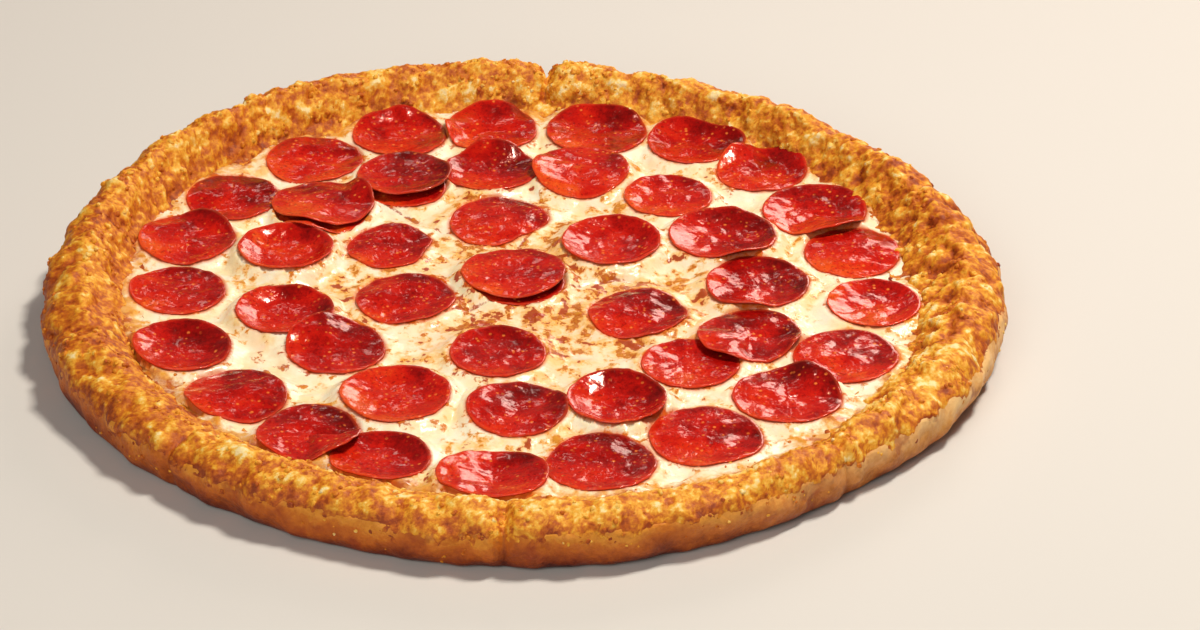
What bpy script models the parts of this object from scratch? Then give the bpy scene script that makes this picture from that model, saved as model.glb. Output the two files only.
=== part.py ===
"""Whole round baked pizza with a cheese-crusted rim and a full layer of pepperoni slices.

Objects are in metres with +Z up. The origin is on the flat underside, in the middle of the outline.
The sizes below are in millimetres and are turned to metres where each mesh is made.
"""

import math
import random
from collections import namedtuple

import bmesh
import bpy
import numpy as np
from mathutils import Vector, noise
from mathutils.bvhtree import BVHTree

# Plan of the pizza, in millimetres: a mean circle with slow waves, as cosine and sine sizes by wave number
MEAN_RADIUS = 178.0
OUTLINE_WAVES = {1: (-2.8, 0.2), 2: (4.2, -1.9), 3: (1.2, -0.2), 4: (2.3, 0.5), 5: (0.5, -0.1)}
RIM_WIDTH = 25.0
RIM_WIDTH_WAVES = {1: (-1.3, -1.8), 2: (2.2, 1.3), 3: (1.5, -1.4), 4: (2.7, 0.0)}

# Section of the rim, in millimetres: the rim stands highest at the back and is pressed low at the front
RIM_HEIGHT = 26.5
RIM_HEIGHT_WAVES = {1: (-0.8, 4.7), 2: (0.4, -0.5), 3: (0.2, 0.9)}
BULGE_HEIGHT = 12.5
FOOT_INSET = 6.0
DOUGH_FLOOR = 8.0
CREST_SHARE = 0.50
TOE_SHARE = 1.15
CORE_SHARE = 0.45
FOOT_STEPS = 3
CROWN_STEPS = 5
WALL_STEPS = 8

# Relief of the baked rim: size across and height of the swellings and of the crags on them
SWELLING = (24.0, 1.9)
CRAG = (9.0, 2.2)
RELIEF_START = 0.45
RELIEF_END = 0.13

# One lump of dough that hangs over the outer side: clock angle, height, size along and up the rim, and how far out
OVERHANG_CLOCK = -29.0
OVERHANG_HEIGHT = 9.0
OVERHANG_SIZE = (7.0, 6.0)
OVERHANG_STAND = 2.5

# Closed cuts of the cutting wheel, every 45 degrees: how deep each still shows in the rim
CUT_DEPTHS = {88: 4.5, 133: 2.0, 178: 0.8, 223: 2.0, 268: 2.2, 313: 1.8, 358: 1.0, 43: 0.8}
CUT_HALF_WIDTH = 3.2
DEEP_CUT = 2.2

# Melted cheese
CHEESE_LEVEL = 12.3
CHEESE_CLIMB = 2.4
CLIMB_REACH = 7.0
CHEESE_EDGE = 0.8
CHEESE_WALL_ROWS = 3
CHEESE_SHARES = (0.93, 0.84, 0.74, 0.63, 0.51, 0.38, 0.22)
PUFF = (34.0, 0.9)
WRINKLE = (13.0, 0.5)

# Pepperoni slices
SLICE_THICKNESS = 1.5
SLICE_SIDES = 16
INNER_SHARE = 0.55
TUCK = 1.0
STIFFNESS = 0.35
RIPPLE = 4.5
OVAL_RANGE = (0.01, 0.03)
LOBE_RANGE = (0.005, 0.015)

# Gaps that keep touching solids apart
FLOOR_GAP = 0.4
WALL_GAP = 0.75
SLICE_GAP = 0.4

# Steps of the rings and of the height map
CLOCK_STEP = 3
NOTCH_STEP = 1.2
MAP_STEP = 1.0
MAP_SPREAD = 1
REACH_STEP = 0.25
MM = 0.001

# Limits of the steps that lift a slice clear of what it lies on
LIFT_ROUNDS = 300
LIFT_DONE = 0.01

Slice = namedtuple("Slice", "x y diameter form turn depth cut", defaults=("flat", 0, 0.6, None))

# Slices in the order in which they were laid, so that a later one lies on an earlier one.
# A form's turn is the direction of its fold or ripple, and a cut is a chord: its clock and its share of the radius.
OUTER_RING = [
    Slice(-54.0, 128.5, 38.5, "bowl", 0, 0.8),
    Slice(-88.0, 107.5, 38.0, "wave", 40, 0.8),
    Slice(-118.5, 75.5, 37.0, "wave", 20, 0.7),
    Slice(-134.0, 42.0, 38.5, "wave", 70, 0.9),
    Slice(-134.5, 2.0, 37.0),
    Slice(-17.0, 134.5, 38.5, "wave", 0, 0.9),
    Slice(26.5, 132.0, 41.5, "bowl", 0, 0.8),
    Slice(67.0, 123.0, 40.0, "bowl", 0, 1.0),
    Slice(93.0, 98.0, 36.0, "wave", 110, 0.7),
    Slice(126.0, 32.5, 38.0, "dome", 0, 1.0),
    Slice(113.0, 64.0, 41.0, "bowl", 0, 0.8),
    Slice(120.0, -48.5, 40.0, "wave", 30, 0.8),
    Slice(132.5, -10.0, 36.0, "bowl", 0, 0.9),
    Slice(97.0, -77.0, 41.0, "wave", 0, 0.6),
    Slice(66.5, -106.0, 42.0, "wave", 20, 0.6),
    Slice(28.0, -124.5, 41.0, "wave", 60, 0.6),
    Slice(-10.5, -135.5, 40.0, "fold", 85, 2.0),
    Slice(-51.5, -122.5, 37.0, "bowl", 0, 1.2),
    Slice(-78.0, -105.0, 39.5, "wave", 30, 0.7),
    Slice(-106.5, -77.5, 38.0, "fold", 27, -2.6),
    Slice(-129.5, -44.0, 38.5, "bowl", 0, 1.6),
]
MIDDLE_RING = [
    Slice(-16.0, 99.0, 38.0, "bowl", 0, 0.8),
    Slice(-51.0, 86.0, 34.0),
    Slice(-51.0, 91.5, 37.5, "bowl", 0, 2.4),
    Slice(-94.5, 31.0, 37.0, "bowl", 0, 2.6),
    Slice(-82.0, 62.0, 34.0),
    Slice(-82.0, 69.0, 40.0, "wave", 85, 1.1),
    Slice(20.0, 96.0, 39.5, "saddle", 0, 2.2),
    Slice(55.0, 77.0, 34.5, "bowl", 0, 0.8),
    Slice(61.5, -54.0, 36.5, "bowl", 0, 0.6),
    Slice(84.0, -33.5, 40.0, "wave", 15, 0.6),
    Slice(88.5, 6.0, 40.0, "bowl", 0, 0.9),
    Slice(76.0, 43.0, 42.0, "bowl", 0, 1.8),
    Slice(-92.0, -17.0, 37.5, "bowl", 0, 2.2),
    Slice(-71.5, -41.5, 37.5, "wave", 10, 0.9),
    Slice(-47.5, -77.5, 40.5, "bowl", 0, 1.4),
    Slice(34.0, -83.0, 37.5, "bowl", 0, 2.6),
    Slice(-2.5, -87.0, 38.0, "fold", 80, 2.2),
]
INNER_RING = [
    Slice(-54.0, 36.5, 34.5, "wave", 60, 0.8, (-15, 0.80)),
    Slice(-47.0, -4.0, 38.0, "wave", 45, 0.9),
    Slice(-12.0, 58.0, 39.0, "dome", 0, 0.7, (-50, 0.78)),
    Slice(32.0, 37.0, 39.0, "bowl", 0, 2.2),
    Slice(-3.0, 8.0, 34.0),
    Slice(-5.5, 12.5, 40.0, "fold", 88, 2.4),
    Slice(42.0, -15.5, 37.5, "wave", 40, 1.2),
    Slice(-10.5, -46.5, 37.0, "bowl", 0, 1.0),
]
RINGS = {"outer": OUTER_RING, "middle": MIDDLE_RING, "inner": INNER_RING}


def waves(angle, table):
    """Sum of the slow waves of a table at an angle in radians."""
    return sum(c * np.cos(k * angle) + s * np.sin(k * angle) for k, (c, s) in table.items())


def outline_radius(angle):
    return MEAN_RADIUS + waves(angle, OUTLINE_WAVES)


def rim_width(angle):
    return RIM_WIDTH + waves(angle, RIM_WIDTH_WAVES)


def rim_height(angle):
    return RIM_HEIGHT + waves(angle, RIM_HEIGHT_WAVES)


def clock_stations():
    """Angles of the section planes: even steps on the cuts, with two more beside each cut that shows well."""
    first = min(CUT_DEPTHS) % CLOCK_STEP
    clocks = [float(c) for c in range(first, 360 + first, CLOCK_STEP)]
    for cut, depth in CUT_DEPTHS.items():
        if depth >= DEEP_CUT:
            clocks += [cut - NOTCH_STEP, cut + NOTCH_STEP]
    return np.radians(sorted(c % 360.0 for c in clocks))


def clock_gap(angle, clock):
    """Signed angle from a clock angle in degrees to an angle in radians, the short way round."""
    return (angle - math.radians(clock) + math.pi) % (2.0 * math.pi) - math.pi


def rim_section(angle):
    """Rows of the rim's section at each angle: inset from the outer edge and height.

    The rows run from the foot round the bulge, over the crest and down the inner wall to the dough floor.
    """
    width = rim_width(angle)
    top = rim_height(angle)
    crest = CREST_SHARE * width
    toe = TOE_SHARE * width
    rows = []
    for turn in np.linspace(0.0, 0.5 * math.pi, FOOT_STEPS, endpoint=False):
        inset = FOOT_INSET * (1.0 - math.sin(turn))
        rows.append((np.full_like(width, inset), np.full_like(width, BULGE_HEIGHT * (1.0 - math.cos(turn)))))
    for turn in np.linspace(0.0, 0.5 * math.pi, CROWN_STEPS, endpoint=False):
        rows.append((crest * (1.0 - math.cos(turn)), BULGE_HEIGHT + (top - BULGE_HEIGHT) * math.sin(turn)))
    for share in np.linspace(0.0, 1.0, WALL_STEPS + 1):
        stand = 0.5 * (1.0 + math.cos(math.pi * share))
        rows.append((crest + (toe - crest) * share, DOUGH_FLOOR + (top - DOUGH_FLOOR) * stand))
    return rows


def cut_groove(angle):
    """Depth of the closed cuts at each angle, as soft V shapes."""
    depth = np.zeros_like(angle)
    for clock, deepest in CUT_DEPTHS.items():
        depth += deepest * np.exp(-(clock_gap(angle, clock) * MEAN_RADIUS / CUT_HALF_WIDTH) ** 2)
    return depth


def overhang(angle, height):
    """How far the overhanging lump stands out at an angle and a height."""
    along, up = OVERHANG_SIZE
    beside = clock_gap(angle, OVERHANG_CLOCK) * MEAN_RADIUS / along
    above = (height - OVERHANG_HEIGHT) / up
    return OVERHANG_STAND * np.exp(-beside ** 2 - above ** 2)


def swelling(x, y, z):
    """Relief of the baked rim at a point."""
    where = Vector((x, y, z))
    size, height = SWELLING
    small, low = CRAG
    return height * noise.noise(where / size) + low * noise.noise(where / small)


def rim_rings(angle):
    """Rings of points of the rim. Its relief pushes each point away from the middle of the section."""
    radius = outline_radius(angle)
    core = CREST_SHARE * rim_width(angle)
    core_height = CORE_SHARE * rim_height(angle)
    groove = cut_groove(angle)
    section = rim_section(angle)
    last = len(section) - 1
    rings = []
    for row, (inset, height) in enumerate(section):
        fade = min(1.0, RELIEF_START * row) * min(1.0, RELIEF_END * (last - row))
        lump = overhang(angle, height)
        ring = []
        for k, a in enumerate(angle):
            plain = radius[k] - inset[k]
            relief = swelling(plain * math.cos(a), plain * math.sin(a), height[k]) - groove[k] + lump[k]
            out = core[k] - inset[k]
            up = height[k] - core_height[k]
            step = fade * relief / math.hypot(out, up)
            r = plain + step * out
            ring.append((r * math.cos(a), r * math.sin(a), height[k] + step * up))
        rings.append(ring)
    return rings


def tube_triangles(rows, columns, first=0):
    """Triangles between closed rings of points that follow each other, all with the same diagonal."""
    faces = []
    for row in range(rows - 1):
        for k in range(columns):
            n = (k + 1) % columns
            a, b = first + row * columns + k, first + row * columns + n
            c, d = a + columns, b + columns
            faces += [(a, b, d), (a, d, c)]
    return faces


def fan(ring_first, columns, centre):
    """Triangles from a ring of points to one in its middle."""
    return [(ring_first + k, ring_first + (k + 1) % columns, centre) for k in range(columns)]


def solid(name, points, faces, material):
    """Closed mesh object with its faces pointing out, from points in millimetres."""
    mesh = bpy.data.meshes.new(name)
    bm = bmesh.new()
    vertices = [bm.verts.new(Vector(p) * MM) for p in points]
    for face in faces:
        bm.faces.new([vertices[i] for i in face])
    bmesh.ops.recalc_face_normals(bm, faces=bm.faces)
    bm.to_mesh(mesh)
    bm.free()
    mesh.materials.append(material)
    mesh.shade_smooth()
    mesh.set_sharp_from_angle(angle=math.radians(50))
    obj = bpy.data.objects.new(name, mesh)
    bpy.context.scene.collection.objects.link(obj)
    return obj


def food_material(name, colour, roughness):
    """Plain food surface: its linear colour and how rough it is."""
    material = bpy.data.materials.new(name)
    material.use_nodes = True
    shader = material.node_tree.nodes["Principled BSDF"]
    shader.inputs["Base Color"].default_value = (*colour, 1.0)
    shader.inputs["Roughness"].default_value = roughness
    return material


def make_crust(angle, rings):
    """Dough base and rim as one closed body: flat underside, rim rings, flat floor under the cheese."""
    columns = len(angle)
    points = [p for ring in rings for p in ring]
    faces = tube_triangles(len(rings), columns)
    points.append((0.0, 0.0, 0.0))
    faces += fan(0, columns, len(points) - 1)
    points.append((0.0, 0.0, DOUGH_FLOOR))
    faces += fan((len(rings) - 1) * columns, columns, len(points) - 1)
    baked = food_material("baked_dough_and_cheese", (0.62, 0.30, 0.07), 0.6)
    return solid("crust", points, faces, baked)


def cheese_top(x, y):
    """Height of the melted cheese inside the rim: nearly level, with puffs, wrinkles and a climb at its edge."""
    angle = math.atan2(y, x)
    inside = outline_radius(angle) - rim_width(angle) - math.hypot(x, y)
    climb = CHEESE_CLIMB * math.exp(-max(inside, 0.0) / CLIMB_REACH)
    size, height = PUFF
    small, low = WRINKLE
    uneven = height * noise.noise(Vector((x, y, 0.0)) / size) + low * noise.noise(Vector((x, y, 40.0)) / small)
    return CHEESE_LEVEL + climb + uneven


def make_cheese(angle, rings):
    """Sheet of melted cheese: its underside keeps clear of the dough, its edge lies on the rim's inner wall."""
    columns = len(angle)
    toe = rings[-1]
    lower = [[(x, y, z + FLOOR_GAP) for x, y, z in toe]]
    for ring in reversed(rings[-1 - CHEESE_WALL_ROWS:-1]):
        lower.append([(x, y, z + WALL_GAP) for x, y, z in ring])
    upper = [[(x, y, z + CHEESE_EDGE) for x, y, z in lower[-1]]]
    for ring in reversed(lower[:-1]):
        upper.append([(x, y, max(cheese_top(x, y), z + CHEESE_EDGE)) for x, y, z in ring])
    for share in CHEESE_SHARES:
        upper.append([(share * x, share * y, cheese_top(share * x, share * y)) for x, y, z in toe])
    rows = lower + upper
    points = [p for ring in rows for p in ring]
    faces = tube_triangles(len(rows), columns)
    points.append((0.0, 0.0, DOUGH_FLOOR + FLOOR_GAP))
    faces += fan(0, columns, len(points) - 1)
    points.append((0.0, 0.0, cheese_top(0.0, 0.0)))
    faces += fan((len(rows) - 1) * columns, columns, len(points) - 1)
    melted = food_material("melted_cheese", (0.90, 0.72, 0.42), 0.4)
    return solid("cheese", points, faces, melted)


def tree_of(obj):
    """Search tree of an object's faces, in millimetres."""
    mesh = obj.data
    points = [v.co / MM for v in mesh.vertices]
    return BVHTree.FromPolygons(points, [tuple(p.vertices) for p in mesh.polygons])


class HeightMap:
    """Top of everything laid so far, on a square grid of points."""

    def __init__(self):
        half = MEAN_RADIUS + 12.0
        self.axis = np.arange(-half, half + MAP_STEP, MAP_STEP)
        self.top = np.zeros((len(self.axis), len(self.axis)))

    def add(self, obj, centre=(0.0, 0.0), reach=400.0):
        """Raise the map to the top of an object round a centre."""
        tree = tree_of(obj)
        down = Vector((0.0, 0.0, -1.0))
        for i in np.nonzero(abs(self.axis - centre[0]) < reach)[0]:
            for j in np.nonzero(abs(self.axis - centre[1]) < reach)[0]:
                hit = tree.ray_cast(Vector((self.axis[i], self.axis[j], 100.0)), down)[0]
                if hit is not None:
                    self.top[i, j] = max(self.top[i, j], hit.z)

    def around(self, x, y, reach):
        """Points of the map near a place, with the highest top within a small spread of each."""
        i = np.nonzero(abs(self.axis - x) < reach)[0]
        j = np.nonzero(abs(self.axis - y) < reach)[0]
        highest = np.zeros((len(i), len(j)))
        for di in range(-MAP_SPREAD, MAP_SPREAD + 1):
            for dj in range(-MAP_SPREAD, MAP_SPREAD + 1):
                if di * di + dj * dj <= MAP_SPREAD * MAP_SPREAD:
                    highest = np.maximum(highest, self.top[np.ix_(i + di, j + dj)])
        grid_x, grid_y = np.meshgrid(self.axis[i], self.axis[j], indexing="ij")
        return grid_x.ravel(), grid_y.ravel(), highest.ravel()


def inside_rim(x, y):
    """Whether a plan point is inside the line where the rim's inner wall stops a slice."""
    angle = math.atan2(y, x)
    return math.hypot(x, y) <= outline_radius(angle) - rim_width(angle) + TUCK


def slice_reach(piece, a, oval, lobes, turn):
    """Distance from a slice's middle to its edge in one direction: uneven, cut off or stopped by the rim."""
    radius = 0.5 * piece.diameter
    reach = radius * (1.0 + oval * math.cos(2 * (a - turn)) + lobes * math.cos(3 * a + turn))
    if piece.cut:
        clock, kept = math.radians(piece.cut[0]), piece.cut[1]
        facing = math.cos(a - clock)
        if facing > 0.0:
            reach = min(reach, kept * radius / facing)
    while not inside_rim(piece.x + reach * math.cos(a), piece.y + reach * math.sin(a)):
        reach -= REACH_STEP
    return reach


def slice_plan(piece, seed):
    """Points of a slice in plan: its middle, an inner ring and its uneven outer ring."""
    draw = random.Random(seed)
    oval, lobes = draw.uniform(*OVAL_RANGE), draw.uniform(*LOBE_RANGE)
    turn = draw.uniform(0.0, math.pi)
    clocks = [2.0 * math.pi * k / SLICE_SIDES for k in range(SLICE_SIDES)]
    reaches = [slice_reach(piece, a, oval, lobes, turn) for a in clocks]
    plan = [(piece.x, piece.y)]
    for share in (INNER_SHARE, 1.0):
        for a, reach in zip(clocks, reaches):
            plan.append((piece.x + share * reach * math.cos(a), piece.y + share * reach * math.sin(a)))
    return np.array(plan)


def slice_form(piece, plan):
    """Height that a slice's own shape adds at each of its points, never below nought."""
    turn = math.radians(piece.turn)
    u = ((plan[:, 0] - piece.x) * math.cos(turn) + (plan[:, 1] - piece.y) * math.sin(turn)) * 2.0 / piece.diameter
    v = ((plan[:, 1] - piece.y) * math.cos(turn) - (plan[:, 0] - piece.x) * math.sin(turn)) * 2.0 / piece.diameter
    forms = {
        "flat": 0.5 * (u * u + v * v),
        "bowl": (u * u + v * v) ** 1.5,
        "dome": 1.0 - (u * u + v * v),
        "saddle": u * u - v * v,
        "fold": np.abs(v),
        "wave": 0.5 + 0.5 * np.sin(RIPPLE * v),
    }
    height = piece.depth * forms[piece.form]
    return height - height.min()


def slice_faces():
    """Triangles of one face of a slice: a fan to the inner ring, then a band to the outer ring."""
    return [(1 + k, 1 + (k + 1) % SLICE_SIDES, 0) for k in range(SLICE_SIDES)] + \
        [(b, a, c) for a, b, c in tube_triangles(2, SLICE_SIDES, first=1)]


def share_matrix(plan, faces, x, y):
    """For each map point inside the slice, the shares of the slice's points that carry it."""
    shares = np.zeros((len(x), len(plan)))
    for a, b, c in faces:
        (ax, ay), (bx, by), (cx, cy) = plan[a], plan[b], plan[c]
        area = (bx - ax) * (cy - ay) - (cx - ax) * (by - ay)
        if abs(area) < 1e-9:
            continue
        wb = ((x - ax) * (cy - ay) - (cx - ax) * (y - ay)) / area
        wc = ((bx - ax) * (y - ay) - (x - ax) * (by - ay)) / area
        wa = 1.0 - wb - wc
        inside = (wa >= 0.0) & (wb >= 0.0) & (wc >= 0.0) & (shares.sum(axis=1) == 0.0)
        shares[inside, a], shares[inside, b], shares[inside, c] = wa[inside], wb[inside], wc[inside]
    inside = shares.sum(axis=1) > 0.0
    return shares[inside], inside


def lie_down(plan, faces, form, ground):
    """Heights at which a slice lies on what is under it: partly draped, partly stiff, and clear all over."""
    x, y, top = ground
    shares, inside = share_matrix(plan, faces, x, y)
    needed = top[inside] + SLICE_GAP
    draped = shares.T @ needed / shares.sum(axis=0)
    flat = np.column_stack([plan - plan[0], np.ones(len(plan))])
    level = flat @ np.linalg.lstsq(flat, draped, rcond=None)[0]
    z = (1.0 - STIFFNESS) * draped + STIFFNESS * level + form
    for _ in range(LIFT_ROUNDS):
        lacking = np.clip(needed - shares @ z, 0.0, None)
        if lacking.max() < LIFT_DONE:
            break
        z += (shares * lacking[:, None]).max(axis=0)
    return z + np.clip(needed - shares @ z, 0.0, None).max()


def make_slices(height_map):
    """Lay the slices ring by ring, each on what already lies there."""
    cured = food_material("cured_pepperoni", (0.42, 0.02, 0.02), 0.35)
    faces = slice_faces()
    rim = range(1 + SLICE_SIDES, 1 + 2 * SLICE_SIDES)
    seed = 0
    for ring, pieces in RINGS.items():
        for number, piece in enumerate(pieces, start=1):
            seed += 1
            plan = slice_plan(piece, seed)
            ground = height_map.around(piece.x, piece.y, 0.5 * piece.diameter + 2.0)
            z = lie_down(plan, faces, slice_form(piece, plan), ground)
            count = len(plan)
            points = [(x, y, low) for (x, y), low in zip(plan, z)]
            points += [(x, y, low + SLICE_THICKNESS) for (x, y), low in zip(plan, z)]
            shell = [(c, b, a) for a, b, c in faces]
            shell += [(a + count, b + count, c + count) for a, b, c in faces]
            for a in rim:
                b = a + 1 if a + 1 in rim else rim[0]
                shell += [(a, b, b + count), (a, b + count, a + count)]
            obj = solid(f"pepperoni_{ring}_{number:02d}", points, shell, cured)
            height_map.add(obj, (piece.x, piece.y), 0.5 * piece.diameter + 3.0)


def build():
    for obj in list(bpy.data.objects):
        bpy.data.objects.remove(obj, do_unlink=True)
    angle = clock_stations()
    rings = rim_rings(angle)
    height_map = HeightMap()
    height_map.add(make_crust(angle, rings))
    height_map.add(make_cheese(angle, rings))
    make_slices(height_map)


build()
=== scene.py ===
import math

import bmesh
import bpy
import numpy as np
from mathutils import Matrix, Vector, noise
from mathutils.bvhtree import BVHTree


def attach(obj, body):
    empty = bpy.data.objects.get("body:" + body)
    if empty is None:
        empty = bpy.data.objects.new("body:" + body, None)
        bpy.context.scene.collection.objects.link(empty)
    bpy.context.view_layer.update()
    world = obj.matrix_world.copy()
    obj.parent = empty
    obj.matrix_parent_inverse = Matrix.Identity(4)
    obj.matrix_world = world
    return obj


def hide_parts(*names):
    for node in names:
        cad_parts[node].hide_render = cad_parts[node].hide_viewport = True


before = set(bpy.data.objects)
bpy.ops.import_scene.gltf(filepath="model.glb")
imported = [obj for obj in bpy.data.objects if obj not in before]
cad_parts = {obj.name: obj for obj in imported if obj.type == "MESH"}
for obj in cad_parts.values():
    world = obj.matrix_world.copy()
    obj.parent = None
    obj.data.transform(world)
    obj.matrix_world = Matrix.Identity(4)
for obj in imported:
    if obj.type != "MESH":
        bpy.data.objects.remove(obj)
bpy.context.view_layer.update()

# Crust
# Yeast dough stretched by hand to an uneven round, its rim rolled thick over the edge and pressed low at the front.
# It bakes to a smooth orange-brown skin and splits a little where it was cut. Its colour is painted darker towards the
# foot, as shade.
# Sizes are in millimetres, and places round the pizza in degrees, counted leftwards from its right end.
MM = 0.001
mean_radius = 178.0
outline_waves = {1: (-2.8, 0.2), 2: (4.2, -1.9), 3: (1.2, -0.2), 4: (2.3, 0.5), 5: (0.5, -0.1)}
mean_rim_width = 25.0
rim_width_waves = {1: (-1.3, -1.8), 2: (2.2, 1.3), 3: (1.5, -1.4), 4: (2.7, 0.0)}
mean_rim_height = 26.5
rim_height_waves = {1: (-0.8, 4.7), 2: (0.4, -0.5), 3: (0.2, 0.9)}
bulge_height = 12.5
foot_inset = 6.0
dough_floor = 8.0
crest_share = 0.50
toe_share = 1.15
core_share = 0.45
swelling = (24.0, 1.9)
crag = (9.0, 2.2)
overhang_clock = -29.0
overhang_height = 9.0
overhang_size = (7.0, 6.0)
overhang_stand = 2.5
cut_depths = {88: 4.5, 133: 2.0, 178: 0.8, 223: 2.0, 268: 2.2, 313: 1.8, 358: 1.0, 43: 0.8}
cut_half_width = 3.2
seam_share = 0.6
seam_half_width = 0.9

# The rim's section is counted in steps: the foot, the crown over the bulge, and the inner wall down to the floor.
# Its unevenness fades out towards both ends.
foot_end = 3.0
crown_end = 8.0
wall_end = 16.0
foot_fade = 0.45
wall_fade = 0.13


def linear(hex_colour):
    """An sRGB hex colour as linear red, green, blue and alpha."""
    parts = [int(hex_colour[i:i + 2], 16) / 255 for i in (1, 3, 5)]
    return tuple(c / 12.92 if c <= 0.04045 else ((c + 0.055) / 1.055) ** 2.4 for c in parts) + (1.0,)


def add(tree, kind, inputs=None, stops=(), **settings):
    """One node with its settings. An input is given a value or another node's output, and stops fill a colour ramp."""
    made = tree.nodes.new(kind)
    for name, value in settings.items():
        setattr(made, name, value)
    for key, value in (inputs or {}).items():
        if isinstance(value, bpy.types.NodeSocket):
            tree.links.new(value, made.inputs[key])
        else:
            made.inputs[key].default_value = value
    for number, (position, colour) in enumerate(stops):
        if number >= len(made.color_ramp.elements):
            made.color_ramp.elements.new(1.0)
        made.color_ramp.elements[number].position = position
        made.color_ramp.elements[number].color = linear(colour)
    return made


def waves(angle, table):
    """Sum of cosine and sine waves round the pizza, from a table of wave number to the two heights."""
    return sum(c * np.cos(k * angle) + s * np.sin(k * angle) for k, (c, s) in table.items())


def outline_radius(angle):
    return mean_radius + waves(angle, outline_waves)


def rim_width(angle):
    return mean_rim_width + waves(angle, rim_width_waves)


def rim_height(angle):
    return mean_rim_height + waves(angle, rim_height_waves)


def clock_gap(angle, clock):
    """How far angles lie from a place given in degrees, in radians and the short way round."""
    return (angle - math.radians(clock) + math.pi) % (2 * math.pi) - math.pi


def bell(angle, clock, width):
    """1 at a place round the pizza, fading to 0 on both sides over a width. Place and width are in degrees."""
    return np.exp(-(clock_gap(angle, clock) / math.radians(width)) ** 2)


def rim_points(angle, step, lift=0.0):
    """Points of the baked rim in millimetres, at some angles and steps of its section and lifted off it by some way."""
    step = np.broadcast_to(step, angle.shape)
    width, top = rim_width(angle), rim_height(angle)
    crest, toe = crest_share * width, toe_share * width
    foot_turn = 0.5 * math.pi * np.clip(step / foot_end, 0, 1)
    crown_turn = 0.5 * math.pi * np.clip((step - foot_end) / (crown_end - foot_end), 0, 1)
    share = np.clip((step - crown_end) / (wall_end - crown_end), 0, 1)
    inset = np.where(step < foot_end, foot_inset * (1 - np.sin(foot_turn)), crest * (1 - np.cos(crown_turn)))
    inset = np.where(step < crown_end, inset, crest + (toe - crest) * share)
    height = np.where(step < foot_end, bulge_height * (1 - np.cos(foot_turn)),
                      bulge_height + (top - bulge_height) * np.sin(crown_turn))
    height = np.where(step < crown_end, height, dough_floor + (top - dough_floor) * 0.5 * (1 + np.cos(math.pi * share)))
    plain = outline_radius(angle) - inset
    groove = sum(depth * part * np.exp(-(clock_gap(angle, clock) * mean_radius / half_width) ** 2)
                 for clock, depth in cut_depths.items()
                 for part, half_width in ((1.0, cut_half_width), (seam_share, seam_half_width)))
    along, up_size = overhang_size
    lump = overhang_stand * np.exp(-(clock_gap(angle, overhang_clock) * mean_radius / along) ** 2
                                   - ((height - overhang_height) / up_size) ** 2)
    rough = np.array([swelling[1] * noise.noise(p / swelling[0]) + crag[1] * noise.noise(p / crag[0])
                      for p in map(Vector, zip(plain * np.cos(angle), plain * np.sin(angle), height))])
    fade = np.minimum(1, foot_fade * step) * np.minimum(1, wall_fade * (wall_end - step))
    out = crest_share * width - inset
    up = height - core_share * top
    push = (fade * (rough - groove + lump) + lift) / np.hypot(out, up)
    r = plain + push * out
    return np.column_stack([r * np.cos(angle), r * np.sin(angle), height + push * up])


def tube_faces(rows, columns, first=0):
    """Quads between rings of points that follow each other."""
    k = np.arange(columns)
    n = (k + 1) % columns
    return [face for row in range(rows - 1)
            for face in (first + np.column_stack([row * columns + k, row * columns + n, (row + 1) * columns + n,
                                                  (row + 1) * columns + k])).tolist()]


def fan_faces(first, columns, centre):
    """Triangles between one ring of points and the point in its middle."""
    return [(first + (k + 1) % columns, first + k, centre) for k in range(columns)]


def new_object(name, data):
    """An object with the given data, in the scene."""
    made = bpy.data.objects.new(name, data)
    bpy.context.scene.collection.objects.link(made)
    return made


def mesh_piece(name, points, faces, **measures):
    """Smooth mesh object from points in millimetres, with one attribute for each measure. Its faces point out."""
    mesh = bpy.data.meshes.new(name)
    mesh.from_pydata((np.asarray(points) * MM).tolist(), [], faces)
    for key, values in measures.items():
        mesh.attributes.new(key, "FLOAT", "POINT").data.foreach_set("value", np.asarray(values, np.float32))
    bm = bmesh.new()
    bm.from_mesh(mesh)
    bmesh.ops.recalc_face_normals(bm, faces=bm.faces)
    bm.to_mesh(mesh)
    bm.free()
    mesh.shade_smooth()
    return new_object(name, mesh)


def new_material(name, surface):
    """A material, its tree and its shader, whose own sockets get the values that are the same all over the surface."""
    material = bpy.data.materials.new(name)
    material.use_nodes = True
    shader = material.node_tree.nodes["Principled BSDF"]
    for key, value in surface.items():
        shader.inputs[key].default_value = value
    return material, material.node_tree, shader


def weighed(tree, parts):
    """The sum of some outputs, each times its weight."""
    total = 0.0
    for part, weight in parts:
        total = add(tree, "ShaderNodeMath", {0: part, 1: weight, 2: total}, operation="MULTIPLY_ADD").outputs[0]
    return total


def laid_over(tree, shade, colour, cloud, low, high, most):
    """Lays a colour over a shade where a cloud rises from one level to another, and covers it by a share at most."""
    share = add(tree, "ShaderNodeMapRange", {"Value": cloud, "From Min": low, "From Max": high, "To Max": most})
    return add(tree, "ShaderNodeMix", {0: share.outputs["Result"], 6: shade, 7: linear(colour)},
               data_type="RGBA").outputs[2]
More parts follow.
